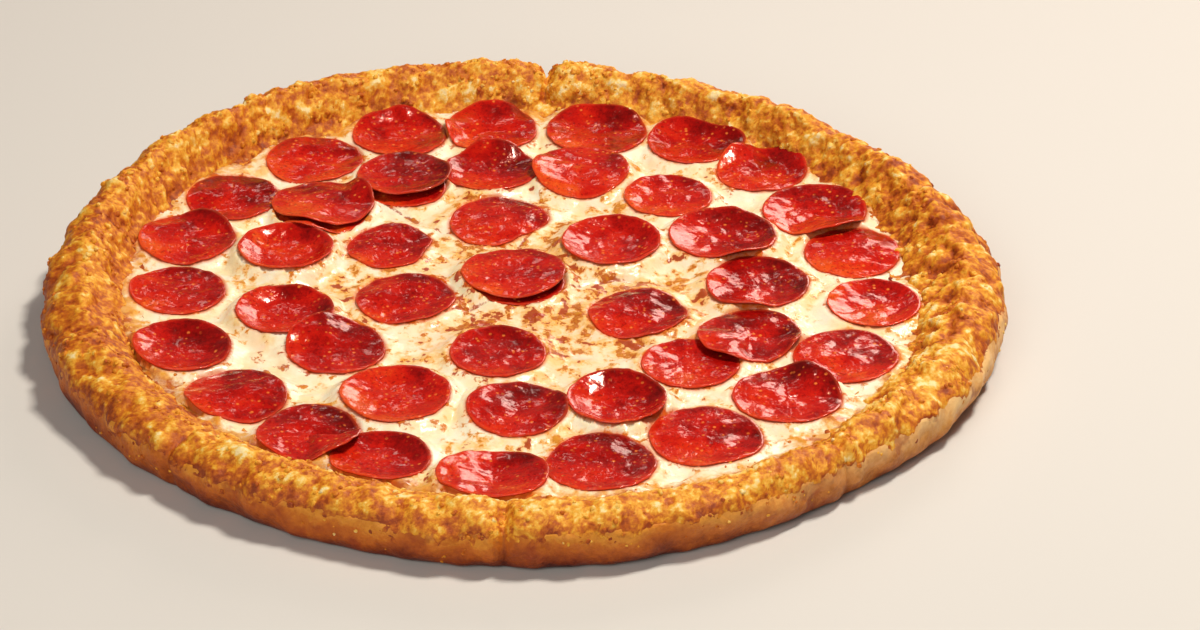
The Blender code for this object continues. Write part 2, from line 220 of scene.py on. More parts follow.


# Smooth baked dough skin: the eye sees an even orange-brown, painted darker towards the foot as shade, with small
# blisters and flecks.
dough_material, tree, shader = new_material("baked_dough_skin", {"Roughness": 0.5, "IOR": 1.36})
place = add(tree, "ShaderNodeTexCoord").outputs["Object"]
level = add(tree, "ShaderNodeAttribute", attribute_name="level").outputs["Fac"]
pale = add(tree, "ShaderNodeAttribute", attribute_name="pale").outputs["Fac"]
cloud = add(tree, "ShaderNodeTexNoise", {"Vector": place, "Scale": 1 / 0.018, "Detail": 4.0, "Roughness": 0.6})
fleck = add(tree, "ShaderNodeTexNoise", {"Vector": place, "Scale": 1 / 0.0025, "Detail": 3.0, "Roughness": 0.7})
# The height mark paints shade: the lower the skin, the darker its colour.
mixed = weighed(tree, ((level, 1.0), (cloud.outputs["Fac"], 1.6), (fleck.outputs["Fac"], 0.6)))
tone = add(tree, "ShaderNodeMapRange", {"Value": mixed, "From Min": 0.90, "From Max": 2.15}).outputs["Result"]
ramp = add(tree, "ShaderNodeValToRGB", {"Fac": tone}, stops=(
    (0.0, "#380C04"), (0.2, "#6A2208"), (0.42, "#96400C"), (0.62, "#B85A12"), (0.82, "#CC701A"), (1.0, "#E2922C")))
light_ramp = add(tree, "ShaderNodeValToRGB", {"Fac": tone}, stops=(
    (0.0, "#8A4010"), (0.3, "#C87220"), (0.6, "#EAA650"), (1.0, "#F9D090")))
dough_colour = add(tree, "ShaderNodeMix", {0: pale, 6: ramp.outputs["Color"], 7: light_ramp.outputs["Color"]},
                   data_type="RGBA")
run = add(tree, "ShaderNodeTexNoise", {"Vector": place, "Scale": 1 / 0.011, "Detail": 4.0, "Roughness": 0.6})
browned = laid_over(tree, dough_colour.outputs[2], "#98380E", run.outputs["Fac"], 0.56, 0.66, 0.6)
tree.links.new(browned, shader.inputs["Base Color"])
dimple = add(tree, "ShaderNodeTexNoise", {"Vector": place, "Scale": 1 / 0.007, "Detail": 3.0}).outputs["Fac"]
skin = add(tree, "ShaderNodeMath", {0: dimple, 1: 4.0, 2: fleck.outputs["Fac"]}, operation="MULTIPLY_ADD").outputs[0]
bump = add(tree, "ShaderNodeBump", {"Height": skin, "Strength": 0.7, "Distance": 0.0007})
tree.links.new(bump.outputs["Normal"], shader.inputs["Normal"])

# Rings lie close where the skin shows. Further in they lie wide, and dive under the coat that hides them.
dough_columns = 900
dough_steps = np.concatenate([np.linspace(0, 6, 22), np.linspace(6.8, 15.4, 8)])
dive_start = 4.2
dive_depth = 1.6
floor_share = 0.99
skin_height = 15.0
palest = 0.85


def pale_share(angle):
    """How pale the rim is coloured round the pizza: palest at the right front."""
    return bell(angle, 336, 28)


angle = np.linspace(0, 2 * math.pi, dough_columns, endpoint=False)
dough_rings = [rim_points(angle, step, -dive_depth * min(1.0, max(0.0, step - dive_start))) for step in dough_steps]
toe = rim_points(angle, wall_end)
points = np.vstack(dough_rings + [toe * (floor_share, floor_share, 1), [(0, 0, 0), (0, 0, dough_floor)]])
rows = len(dough_steps) + 1
faces = tube_faces(rows, dough_columns)
faces += fan_faces(0, dough_columns, rows * dough_columns)
faces += fan_faces((rows - 1) * dough_columns, dough_columns, rows * dough_columns + 1)
dough = mesh_piece("dough_rim_and_base", points, faces, level=np.clip(points[:, 2] / skin_height, 0, 1),
                   pale=palest * pale_share(np.arctan2(points[:, 1], points[:, 0])))
dough.data.materials.append(dough_material)
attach(dough, "root")
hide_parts("crust")

# Pepperoni
# Slices of a cured pork and beef stick, about 1.4 mm thick. The oven curls their edges into shallow cups and folds,
# brings out orange fat flecks and leaves a film of oil that shines in broad sheens and small glints.
pepperoni_material, tree, shader = new_material("sliced_cured_pepperoni", {
    "Roughness": 0.18, "IOR": 1.38, "Specular Tint": linear("#FFC8B8"), "Coat Weight": 0.35, "Coat Roughness": 0.05})
place = add(tree, "ShaderNodeTexCoord").outputs["Object"]
edge, own, shade_side = (add(tree, "ShaderNodeAttribute", attribute_name=name).outputs["Fac"]
                         for name in ("edge", "own", "shade_side"))
meat = add(tree, "ShaderNodeTexNoise", {"Vector": place, "Scale": 1 / 0.014, "Detail": 3.0}).outputs["Fac"]
grain = add(tree, "ShaderNodeTexNoise", {"Vector": place, "Scale": 1 / 0.0018, "Detail": 3.0, "Roughness": 0.7})
# The shade side mark paints shade: each slice is coloured darker towards its back right.
total = weighed(tree, ((meat, 0.85), (grain.outputs["Fac"], 0.4), (own, 0.2), (shade_side, -0.22)))
tone = add(tree, "ShaderNodeMapRange", {"Value": total, "From Min": 0.32, "From Max": 0.95}).outputs["Result"]
ramp = add(tree, "ShaderNodeValToRGB", {"Fac": tone}, stops=(
    (0.0, "#640504"), (0.25, "#960A08"), (0.5, "#C2150C"), (0.75, "#D62A10"), (1.0, "#E4521A")))
fat = add(tree, "ShaderNodeTexVoronoi", {"Vector": place, "Scale": 1 / 0.0030, "Randomness": 1.0}).outputs["Distance"]
fat_share = add(tree, "ShaderNodeMapRange", {"Value": fat, "From Min": 0.12, "From Max": 0.26, "To Min": 0.85,
                                             "To Max": 0.0}).outputs["Result"]
fat_patch = add(tree, "ShaderNodeTexNoise", {"Vector": place, "Scale": 1 / 0.007, "Detail": 1.0}).outputs["Fac"]
fat_here = add(tree, "ShaderNodeMapRange", {"Value": fat_patch, "From Min": 0.42, "From Max": 0.6}).outputs["Result"]
fat_mix = add(tree, "ShaderNodeMath", {0: fat_share, 1: fat_here}, operation="MULTIPLY").outputs[0]
flecked = add(tree, "ShaderNodeMix", {0: fat_mix, 6: ramp.outputs["Color"], 7: linear("#F08038")}, data_type="RGBA")
speck = add(tree, "ShaderNodeTexNoise", {"Vector": place, "Scale": 1 / 0.0013, "Detail": 2.0, "Roughness": 0.6})
shade = laid_over(tree, flecked.outputs[2], "#6A0606", speck.outputs["Fac"], 0.56, 0.68, 0.55)
shade = laid_over(tree, shade, "#E0502C", edge, 0.93, 1.0, 0.4)
# Painted shade: the lower side and the underside of each slice are coloured dark.
shade = laid_over(tree, shade, "#7A0A08", edge, 1.3, 1.4, 0.8)
tree.links.new(shade, shader.inputs["Base Color"])
pimple = add(tree, "ShaderNodeTexNoise", {"Vector": place, "Scale": 1 / 0.0011, "Detail": 2.0, "Roughness": 0.6})
pit = add(tree, "ShaderNodeTexVoronoi", {"Vector": place, "Scale": 1 / 0.0016}).outputs["Distance"]
pitted = add(tree, "ShaderNodeMapRange", {"Value": pit, "From Min": 0.1, "From Max": 0.5}).outputs["Result"]
skin = add(tree, "ShaderNodeMath", {0: pitted, 1: 0.5, 2: pimple.outputs["Fac"]}, operation="MULTIPLY_ADD").outputs[0]
bump = add(tree, "ShaderNodeBump", {"Height": skin, "Strength": 1.0, "Distance": 0.0001})
tree.links.new(bump.outputs["Normal"], shader.inputs["Normal"])


def new_tree(name, numbers):
    """Empty Geometry Nodes tree with a mesh in, numbers and a material in, and a mesh out."""
    tree = bpy.data.node_groups.new(name, "GeometryNodeTree")
    tree.interface.new_socket("Geometry", in_out="INPUT", socket_type="NodeSocketGeometry")
    for key in numbers:
        tree.interface.new_socket(key, in_out="INPUT", socket_type="NodeSocketFloat")
    tree.interface.new_socket("Material", in_out="INPUT", socket_type="NodeSocketMaterial")
    tree.interface.new_socket("Geometry", in_out="OUTPUT", socket_type="NodeSocketGeometry")
    return tree, tree.nodes.new("NodeGroupInput").outputs


def finish_tree(tree, shape, given):
    """Ends a tree: the shape is made real and gets the material."""
    real = add(tree, "GeometryNodeRealizeInstances", {"Geometry": shape})
    dressed = add(tree, "GeometryNodeSetMaterial", {"Geometry": real.outputs[0], "Material": given["Material"]})
    add(tree, "NodeGroupOutput", {0: dressed.outputs[0]})


def swell(tree, where, size, **details):
    """Noise of a given size at some places, from about -0.5 in hollows to 0.5 on tops."""
    scale = add(tree, "ShaderNodeMath", {0: 1.0, 1: size}, operation="DIVIDE").outputs[0]
    cloud = add(tree, "ShaderNodeTexNoise", {"Vector": where, "Scale": scale, **details}).outputs["Fac"]
    return add(tree, "ShaderNodeMath", {0: cloud, 1: 0.5}, operation="SUBTRACT").outputs[0]


def grow(piece, tree, values):
    """Runs a tree on a piece with the given inputs and turns the result into the piece's own plain mesh."""
    modifier = piece.modifiers.new(tree.name, "NODES")
    modifier.node_group = tree
    for item in tree.interface.items_tree:
        if item.in_out == "INPUT" and item.name in values:
            modifier[item.identifier] = values[item.name]
    graph = bpy.context.evaluated_depsgraph_get()
    graph.update()
    grown = bpy.data.meshes.new_from_object(piece.evaluated_get(graph))
    piece.modifiers.clear()
    piece.data = grown
    grown.name = piece.name
    grown.shade_smooth()
    return piece


tree, given = new_tree("cured_slice_relief", ("Wave size", "Wave height", "Bump size", "Bump height"))
where = add(tree, "GeometryNodeInputPosition").outputs[0]
facing = add(tree, "GeometryNodeInputNormal").outputs[0]
wave_up = swell(tree, where, given["Wave size"], Detail=1.0)
small_up = swell(tree, where, given["Bump size"], Detail=2.0)
wave_part = add(tree, "ShaderNodeMath", {0: wave_up, 1: given["Wave height"]}, operation="MULTIPLY").outputs[0]
small_part = add(tree, "ShaderNodeMath", {0: small_up, 1: given["Bump height"]}, operation="MULTIPLY").outputs[0]
lift = add(tree, "ShaderNodeCombineXYZ", {"Z": wave_part}).outputs[0]
prick = add(tree, "ShaderNodeVectorMath", {0: facing, "Scale": small_part}, operation="SCALE").outputs[0]
offset = add(tree, "ShaderNodeVectorMath", {0: lift, 1: prick}, operation="ADD").outputs[0]
moved = add(tree, "GeometryNodeSetPosition", {"Geometry": given["Geometry"], "Offset": offset})
finish_tree(tree, moved.outputs[0], given)
slice_tree = tree

# How the oven shapes a slice: its own cup or fold deepens, and its rim thins. Slices that lie over or under another
# one stay as they drape, but for a slight cup.
slice_rings = 30
slice_columns = 132
first_ring = 0.03
deepening = 1.5
stacked_deepening = 0.2
stacked = ("middle_02", "middle_03", "middle_05", "middle_06", "middle_07", "middle_14", "middle_17", "inner_05",
           "inner_06", "outer_20")
middle_thickness = 1.4
rim_thickness = 0.9
rim_bulge = 0.3
rim_crease = math.radians(55)
rim_raggedness = 0.35
read_share = 0.94
# The rounded edge in rings: how far out and down each lies, as shares of the bulge and the thickness, and its mark.
side = ((0.6, 0.12), (1.0, 0.4), (0.8, 0.75), (0.0, 1.0))
side_marks = [1.1, 1.3, 1.4, 1.4]
under_mark = 1.4
shade_reach = 30.0


def even_out(heights, rounds):
    """Averages each height with its neighbours on a grid whose columns close into a circle."""
    for _ in range(rounds):
        more = np.vstack([heights[:1], heights, heights[-1:]])
        heights = 0.25 * (more[:-2] + more[2:] + np.roll(heights, 1, 1) + np.roll(heights, -1, 1))
    return heights


def fitted(terms, heights):
    """The surface that comes closest to some heights, as a sum of the given terms."""
    return (terms @ np.linalg.lstsq(terms, heights.ravel(), rcond=None)[0]).reshape(heights.shape)


slices = {}
for number, node in enumerate(sorted(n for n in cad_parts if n.startswith("pepperoni_"))):
    bm = bmesh.new()
    bm.from_mesh(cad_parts[node].data)
    bmesh.ops.remove_doubles(bm, verts=bm.verts, dist=0.01 * MM)
    bm.normal_update()
    body = BVHTree.FromBMesh(bm)
    rim = {v for e in bm.edges if e.calc_face_angle(0.0) > rim_crease for v in e.verts}
    middle = np.mean([v.co.xy for v in bm.verts], axis=0) / MM
    spokes = np.array([v.co.xy for v in rim]) / MM - middle
    bm.free()
    turn = np.arctan2(spokes[:, 1], spokes[:, 0])
    order = np.argsort(turn)
    angle = np.linspace(-math.pi, math.pi, slice_columns, endpoint=False)
    reach = np.interp(angle, turn[order], np.hypot(*spokes.T)[order], period=2 * math.pi)
    reach = even_out(np.tile(reach, (3, 1)), 4)[0] - rim_bulge
    reach += [rim_raggedness * noise.noise(Vector((2.2 * math.cos(a), 2.2 * math.sin(a), number))) for a in angle]
    share = np.linspace(first_ring, 1, slice_rings)[:, None]
    x, y = share * reach * np.cos(angle), share * reach * np.sin(angle)
    top = np.array([body.ray_cast(Vector((a, b, 60)) * MM, Vector((0, 0, -1)))[0].z / MM
                    for a, b in zip(middle[0] + read_share * x.ravel(), middle[1] + read_share * y.ravel())])
    top = even_out(top.reshape(x.shape), 8)
    flat = np.column_stack([x.ravel(), y.ravel(), np.ones(x.size)])
    level = fitted(flat, top)
    if node.endswith(stacked):
        curved = np.column_stack([flat, x.ravel() ** 2, x.ravel() * y.ravel(), y.ravel() ** 2])
        top += stacked_deepening * (fitted(curved, top) - level)
    else:
        top += deepening * (top - level)
    thick = middle_thickness + (rim_thickness - middle_thickness) * share ** 4
    side_x = np.vstack([x[-1] + out * rim_bulge * np.cos(angle) for out, down in side])
    side_y = np.vstack([y[-1] + out * rim_bulge * np.sin(angle) for out, down in side])
    side_z = np.vstack([top[-1] - down * rim_thickness for out, down in side])
    under = list(range(slice_rings - 3, 0, -4))
    grid_x, grid_y = np.vstack([x, side_x, x[under]]), np.vstack([y, side_y, y[under]])
    grid_z = np.vstack([top, side_z, (top - thick)[under]])
    rows = len(grid_z)
    edge = np.concatenate([share[:, 0], side_marks, [under_mark] * len(under)])
    points = np.column_stack([middle[0] + grid_x.ravel(), middle[1] + grid_y.ravel(), grid_z.ravel()])
    ends = [(*middle, top[0].mean()), (*middle, (top - thick)[0].mean())]
    faces = tube_faces(rows, slice_columns) + fan_faces(0, slice_columns, len(points))
    faces += fan_faces((rows - 1) * slice_columns, slice_columns, len(points) + 1)
    own = np.full(len(points) + 2, noise.noise(Vector((number * 1.7, 0.3, 0.9))))
    # Painted shade: a mark that grows towards the slice's back right, where its colour is darkened.
    shade_side = np.append((grid_x + grid_y).ravel() / shade_reach, [0, 0])
    piece = mesh_piece("slice_" + node, np.vstack([points, ends]), faces,
                       edge=np.append(np.repeat(edge, slice_columns), [0, under_mark]), own=own, shade_side=shade_side)
    grow(piece, slice_tree, {"Wave size": 10 * MM, "Wave height": 2.0 * MM, "Bump size": 4.4 * MM,
                             "Bump height": 0.7 * MM, "Material": pepperoni_material})
    slices[node] = piece
    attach(piece, "root")
    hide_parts(node)

# Cheese
# Grated mozzarella melted into one soft sheet over thin tomato sauce. It swells round the edges of the slices,
# climbs the rim's inner wall, browns in blisters and lets sauce and orange oil through, most of all in the middle.
cheese_level = 12.3
cheese_climb = 2.4
climb_reach = 7.0
puff = (34.0, 0.9)
wrinkle = (13.0, 0.5)
cheese_columns = 840
wall_rows = 10
outer_rows = 70
inner_rows = 60
halfway = 0.5
cheese_edge_step = 12.6
closed_cuts = (((-61, 75), (-33, 53), (-4, 36), (9, 62)), ((-38, -21), (-26, -11), (21, 7), (35, 13), (57, 11)),
               ((30, -22), (45, -36), (63, -68)))
cut_shift = -1.8
slit_half_width = 1.1
slit_depth = 0.9
sunk, risen = -1.4, 1.6
edge_sink = 2.0
underside_drop = 2.2
underside_share = 0.9
underside_lift = 0.4
lip_rise = 5.5
lip_reach = 4.2
lip_clear = 0.1
climb_limit = 0.3
climb_slope = 0.9
slice_clear = 0.15
search_reach = 9
# How far the orange of the slices' oil and painted shade reaches.
oil_and_shade_reach = 2.0
border_width = 11.0
centre_most = 1.15
centre_width = 110.0
far = 1e9


def ring_noise(angle, layer, ripples):
    """Noise round the pizza. More ripples make it finer, and each layer is another draw."""
    return np.array([noise.noise(Vector((math.cos(a), math.sin(a), layer)) * ripples) for a in angle])


def cheese_top(x, y):
    """Height of the melted cheese in millimetres, as it lies before the slices press on it."""
    inside = outline_radius(np.arctan2(y, x)) - rim_width(np.arctan2(y, x)) - np.hypot(x, y)
    climb = cheese_climb * np.exp(-np.maximum(inside, 0) / climb_reach)
    uneven = [puff[1] * noise.noise(Vector((a, b, 0)) / puff[0])
              + wrinkle[1] * noise.noise(Vector((a, b, 40)) / wrinkle[0]) for a, b in zip(x, y)]
    return cheese_level + climb + np.array(uneven)


def segment_distance(x, y, a, b):
    """Distance in plan from points to the line between two places."""
    dx, dy = b[0] - a[0], b[1] - a[1]
    t = np.clip(((x - a[0]) * dx + (y - a[1]) * dy) / (dx * dx + dy * dy), 0, 1)
    return np.hypot(x - a[0] - t * dx, y - a[1] - t * dy)


angle = np.linspace(0, 2 * math.pi, cheese_columns, endpoint=False)
wall_steps = np.linspace(cheese_edge_step, wall_end, wall_rows)
wall_rings = [rim_points(angle, step) for step in wall_steps]
toe = wall_rings[-1]
outer_rings = [toe * (share, share, 1) for share in np.linspace(1, halfway, outer_rows + 1)[1:]]
inner_rings = [toe[::2] * (share, share, 1) for share in np.linspace(halfway, 0, inner_rows + 1)[1:-1]]
grid = np.vstack(wall_rings + outer_rings + inner_rings + [[(0, 0, dough_floor)]])
x, y, under = grid.T
around = np.arctan2(y, x)
wander = 1.5 * ring_noise(around, 7, 9) + 1.3 * ring_noise(around, 9, 26)
rise = np.full(len(x), risen)
wall_count = wall_rows * cheese_columns
rise[:wall_count] = np.repeat(np.linspace(sunk, risen, wall_rows), cheese_columns)
top = np.maximum(cheese_top(x, y), under + rise + wander)
top[:cheese_columns] = under[:cheese_columns] - edge_sink
soft = np.ones(len(x))
soft[:wall_count] = np.repeat(np.clip((np.arange(wall_rows) - 1) / 4, 0, 1), cheese_columns)

# The sheet dips under each slice and swells up round it, as far as its edge.
near = np.zeros(len(x))
lip = np.zeros(len(x))
dip = np.full(len(x), far)
ceiling = np.full(len(x), far)
for piece in slices.values():
    verts = np.array([v.co for v in piece.data.vertices]) / MM
    low, high = verts.min(axis=0), verts.max(axis=0)
    body = BVHTree.FromPolygons(verts.tolist(), [tuple(p.vertices) for p in piece.data.polygons])
    close = np.nonzero((x > low[0] - search_reach) & (x < high[0] + search_reach)
                       & (y > low[1] - search_reach) & (y < high[1] + search_reach))[0]
    for i in close:
        hit = body.ray_cast(Vector((x[i], y[i], -5.0)), Vector((0, 0, 1)))[0]
        if hit is not None:
            dip[i] = min(dip[i], hit.z)
            near[i] = 1.0
            lip[i] = lip_rise
            continue
        spot = body.find_nearest(Vector((x[i], y[i], top[i] + 1.0)))[0]
        apart = math.hypot(spot.x - x[i], spot.y - y[i])
        near[i] = max(near[i], math.exp(-apart / oil_and_shade_reach))
        ceiling[i] = min(ceiling[i], spot.z + climb_limit + climb_slope * apart)
        if soft[i] == 1.0:
            up = min(lip_rise, max(0.0, spot.z - top[i] + lip_clear))
            lip[i] = max(lip[i], up * math.exp(-(apart / lip_reach) ** 2))
top = np.minimum(np.minimum(top + lip, ceiling), dip - slice_clear)

# The closed cuts leave shallow slits. The marks for the material are how near a point is to the border and the middle.
cut = np.full(len(x), far)
for line in closed_cuts:
    for a, b in zip(line, line[1:]):
        cut = np.minimum(cut, segment_distance(x - cut_shift, y, a, b))
slit = np.exp(-(cut / slit_half_width) ** 2)
free = (dip == far) * soft
top = top - slit_depth * slit * free
radius = np.hypot(x, y)
border = np.clip(1 - (outline_radius(around) - rim_width(around) - radius) / border_width, 0, 1)
centre = np.clip(centre_most - radius / centre_width, 0, 1)
points = np.column_stack([x, y, top])
count = len(points)
low_edge = wall_rings[0] + (0, 0, -underside_drop)
bottom = toe * (underside_share, underside_share, 0) + (0, 0, dough_floor + underside_lift)
points = np.vstack([points, low_edge, bottom, [(0, 0, dough_floor + underside_lift)]])
rows = wall_rows + outer_rows
faces = tube_faces(rows, cheese_columns)
ring = (rows - 1) * cheese_columns
first = rows * cheese_columns
half = cheese_columns // 2
k = np.arange(half)
n = (k + 1) % half
faces += np.column_stack([ring + 2 * k, ring + 2 * k + 1, first + k]).tolist()
faces += np.column_stack([ring + 2 * k + 1, ring + 2 * n, first + n, first + k]).tolist()
faces += tube_faces(inner_rows - 1, half, first)
faces += fan_faces(first + (inner_rows - 2) * half, half, count - 1)
k = np.arange(cheese_columns)
n = (k + 1) % cheese_columns
faces += np.column_stack([n, k, count + k, count + n]).tolist()
faces += np.column_stack([count + n, count + k, count + cheese_columns + k, count + cheese_columns + n]).tolist()
faces += fan_faces(count + cheese_columns, cheese_columns, len(points) - 1)
extra = np.zeros(len(points) - count)
cheese = mesh_piece("melted_cheese_sheet", points, faces, slice_near=np.append(near, extra),
                    slit=np.append(slit, extra), border=np.append(border, extra), centre=np.append(centre, extra),
                    soft=np.append(free, extra))

# Melted mozzarella: soft, oily and a little see-through, so the eye sees glowing cream with brown blisters and oil.
cheese_material, tree, shader = new_material("melted_mozzarella", {
    "Roughness": 0.24, "IOR": 1.45, "Subsurface Weight": 0.25, "Subsurface Radius": (1.0, 0.7, 0.4),
    "Subsurface Scale": 0.003})
place = add(tree, "ShaderNodeTexCoord").outputs["Object"]
masks = {name: add(tree, "ShaderNodeAttribute", attribute_name=name).outputs["Fac"]
         for name in ("slice_near", "slit", "border", "centre")}
milk = add(tree, "ShaderNodeTexNoise", {"Vector": place, "Scale": 1 / 0.012, "Detail": 4.0}).outputs["Fac"]
shade = add(tree, "ShaderNodeValToRGB", {"Fac": milk}, stops=((0.25, "#FFE0A4"), (0.6, "#FFF3D8"))).outputs["Color"]
patch = add(tree, "ShaderNodeTexNoise", {"Vector": place, "Scale": 1 / 0.030, "Detail": 2.0}).outputs["Fac"]
clouds = {size: add(tree, "ShaderNodeTexNoise", {"Vector": place, "Scale": 1000 / size, "Detail": 4.0,
                                                 "Roughness": 0.6, "Distortion": 0.15}).outputs["Fac"]
          for size in (22.0, 13.0, 8.0, 5.5)}

# Each layer: its colour, the size of its patches, the cloud levels where it starts and is full, how much it covers,
# the mark that brings it out and by how much, and how strongly its patches keep together.
layers = (
    ("#FCD0AC", 22.0, 0.56, 0.70, 0.55, "centre", 0.14, 0.0),
    ("#FAC66C", 13.0, 0.57, 0.68, 0.65, "centre", 0.11, 0.30),
    ("#F4AE48", 8.0, 0.61, 0.70, 0.70, "centre", 0.12, 0.30),
    ("#F4B04A", 5.5, 0.60, 0.66, 0.75, "centre", 0.12, 0.20),
    ("#A8300C", 8.0, 0.705, 0.73, 0.90, "centre", 0.12, 0.30),
    ("#A82008", 13.0, 0.700, 0.725, 0.90, "centre", 0.11, -0.20),
    ("#B23E10", 5.5, 0.67, 0.695, 0.90, "centre", 0.12, 0.20),
    ("#B4260C", 5.5, 0.63, 0.69, 0.85, "slice_near", 0.10, -0.20),
    ("#A83008", 5.5, 0.66, 0.76, 0.85, "slit", 0.26, 0.0),
    ("#E6A238", 5.5, 0.56, 0.74, 0.85, "border", 0.26, 0.2),
    ("#B04418", 8.0, 0.68, 0.82, 0.80, "border", 0.22, 0.3),
)
for colour, size, low, high, most, mask, gain, clumping in layers:
    cloud = weighed(tree, ((clouds[size], 1.0), (masks[mask], gain), (patch, clumping)))
    shade = laid_over(tree, shade, colour, cloud, low + 0.5 * clumping, high + 0.5 * clumping, most)
# Orange round the edges of the slices: partly their oil, partly painted shade under their raised rims.
shade = laid_over(tree, shade, "#DE5C14", masks["slice_near"], 0.45, 0.90, 0.85)
tree.links.new(shade, shader.inputs["Base Color"])
ripple = add(tree, "ShaderNodeTexNoise", {"Vector": place, "Scale": 1 / 0.0022, "Detail": 3.0})
bump = add(tree, "ShaderNodeBump", {"Height": ripple.outputs["Fac"], "Strength": 0.4, "Distance": 0.0006})
tree.links.new(bump.outputs["Normal"], shader.inputs["Normal"])

tree, given = new_tree("melted_sheet_relief", ("Flow size", "Flow height", "Blister size", "Blister height"))
where = add(tree, "GeometryNodeInputPosition").outputs[0]
soft_here = add(tree, "GeometryNodeInputNamedAttribute", {"Name": "soft"}, data_type="FLOAT").outputs["Attribute"]
blister_scale = add(tree, "ShaderNodeMath", {0: 1.0, 1: given["Blister size"]}, operation="DIVIDE").outputs[0]
flow_up = swell(tree, where, given["Flow size"], Detail=3.0, Roughness=0.45, Distortion=0.6)
flow_part = add(tree, "ShaderNodeMath", {0: flow_up, 1: given["Flow height"]}, operation="MULTIPLY").outputs[0]
blister = add(tree, "ShaderNodeTexNoise", {"Vector": where, "Scale": blister_scale, "Detail": 2.0})
blister_up = add(tree, "ShaderNodeMapRange", {"Value": blister.outputs["Fac"], "From Min": 0.56, "From Max": 0.75})
blister_part = add(tree, "ShaderNodeMath", {0: blister_up.outputs["Result"], 1: given["Blister height"], 2: flow_part},
                   operation="MULTIPLY_ADD").outputs[0]
kept = add(tree, "ShaderNodeMath", {0: blister_part, 1: soft_here}, operation="MULTIPLY").outputs[0]
offset = add(tree, "ShaderNodeCombineXYZ", {"Z": kept}).outputs[0]
moved = add(tree, "GeometryNodeSetPosition", {"Geometry": given["Geometry"], "Offset": offset})
finish_tree(tree, moved.outputs[0], given)
grow(cheese, tree, {"Flow size": 13 * MM, "Flow height": 3.4 * MM, "Blister size": 5.5 * MM, "Blister height": 0.8 * MM,
                    "Material": cheese_material})
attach(cheese, "root")
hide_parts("cheese")

# Baked cheese coat
# Finely grated hard cheese pressed all over the rim before baking. It melts into lumps and crumbs that brown on top,
# ends in a ragged line on the outer side, and runs down the inner wall to the sheet of mozzarella.
coat_columns = 1480
coat_rows = 62
coat_lift = 0.35
coat_sink = 0.3
hidden_sink = 2.5
coat_end = 15.8
apron_reach = 3.0
apron_wider = 6.0
apron_rise = 5.6
lobe_reach = 2.2
lobe_wider = 1.5


def apron(angle):
    """How far the coat's inner slope runs past the rim's toe, in millimetres: in lobes, and widest at the right."""
    wide = bell(angle, 2, 48)
    lobes = ring_noise(angle, 5, 11) + 0.8 * ring_noise(angle, 6, 29)
    return apron_reach + apron_wider * wide + (lobe_reach + lobe_wider * wide) * lobes


def coat_start(angle):
    """Step of the section at which the coat's ragged lower edge lies: lower at the left, higher at the right front."""
    ragged = 0.9 * ring_noise(angle, 0, 14) + 0.5 * ring_noise(angle, 3, 45)
    return 2.5 - 1.4 * bell(angle, 168, 42) - 0.6 * bell(angle, 80, 60) + 0.8 * pale_share(angle) + ragged


def darkened_share(angle):
    """How much darker the coat is coloured round the rim: darker at the left and the right, lighter at the front and
    the back.
    """
    return sum(most * bell(angle, clock, width)
               for clock, width, most in ((175, 55, 1.0), (8, 34, 1.1), (272, 40, -0.6), (85, 45, -1.0)))


angle = np.linspace(0, 2 * math.pi, coat_columns, endpoint=False)
start = coat_start(angle)
beyond = apron(angle)
inward = np.column_stack([-np.cos(angle), -np.sin(angle), np.zeros(coat_columns)])
coat_rings, taper, step_of = [], [], []

# Each row starts sunk in the dough and soon covers it. The relief is low at both edges, as the taper tells the tree.
for share in np.linspace(0, 1, coat_rows):
    step = start + (coat_end - start) * share
    cover = min(1.0, share * 6)
    slope = np.clip((step - crown_end) / (coat_end - crown_end), 0, 1)[:, None]
    coat_rings.append(rim_points(angle, step, -coat_sink + (coat_lift + coat_sink) * cover)
                      + inward * beyond[:, None] * slope ** 1.3 + (0, 0, apron_rise) * slope ** 2.2)
    low_edge, high_edge = 0.25 + 0.75 * min(1.0, share * 2.2), min(1.0, (1 - share) * 12 + 0.5)
    taper.append(np.full(coat_columns, low_edge * high_edge))
    step_of.append(step)
inner = [rim_points(angle, coat_end, -hidden_sink) + inward * beyond[:, None], rim_points(angle, start, -hidden_sink)]
points = np.vstack(coat_rings + inner)
faces = tube_faces(coat_rows + 2, coat_columns)
k = np.arange(coat_columns)
n = (k + 1) % coat_columns
last = (coat_rows + 1) * coat_columns
faces += np.column_stack([last + k, last + n, n, k]).tolist()
extra = np.zeros(2 * coat_columns)
around = np.arctan2(points[:, 1], points[:, 0])
step_of = np.append(np.concatenate(step_of), extra)
coat = mesh_piece("baked_cheese_coat", points, faces, coat=np.append(np.concatenate(taper), extra),
                  wall=np.clip((step_of - 11.0) / 5.0, 0, 1), skirt=np.clip((6.0 - step_of) / 3.5, 0, 1),
                  pale=pale_share(around), browned=darkened_share(around), blobby=bell(around, 5, 30))

# Grated cheese baked on dough: gold crumbs, each its own tone, with painted light on their tips and painted shade in
# their hollows.
coat_material, tree, shader = new_material("baked_grated_cheese", {
    "IOR": 1.40, "Subsurface Weight": 0.1, "Subsurface Radius": (1.0, 0.5, 0.2), "Subsurface Scale": 0.0015})
place = add(tree, "ShaderNodeTexCoord").outputs["Object"]
masks = {name: add(tree, "ShaderNodeAttribute", attribute_name=name).outputs["Fac"]
         for name in ("relief", "crumb", "wall", "skirt", "pale", "browned")}
region = add(tree, "ShaderNodeTexNoise", {"Vector": place, "Scale": 1 / 0.022, "Detail": 3.0}).outputs["Fac"]
mottle = add(tree, "ShaderNodeTexNoise", {"Vector": place, "Scale": 1 / 0.0065, "Detail": 5.0, "Roughness": 0.68,
                                          "Distortion": 0.2}).outputs["Fac"]
fleck = add(tree, "ShaderNodeTexNoise", {"Vector": place, "Scale": 1 / 0.0022, "Detail": 3.0, "Roughness": 0.6})
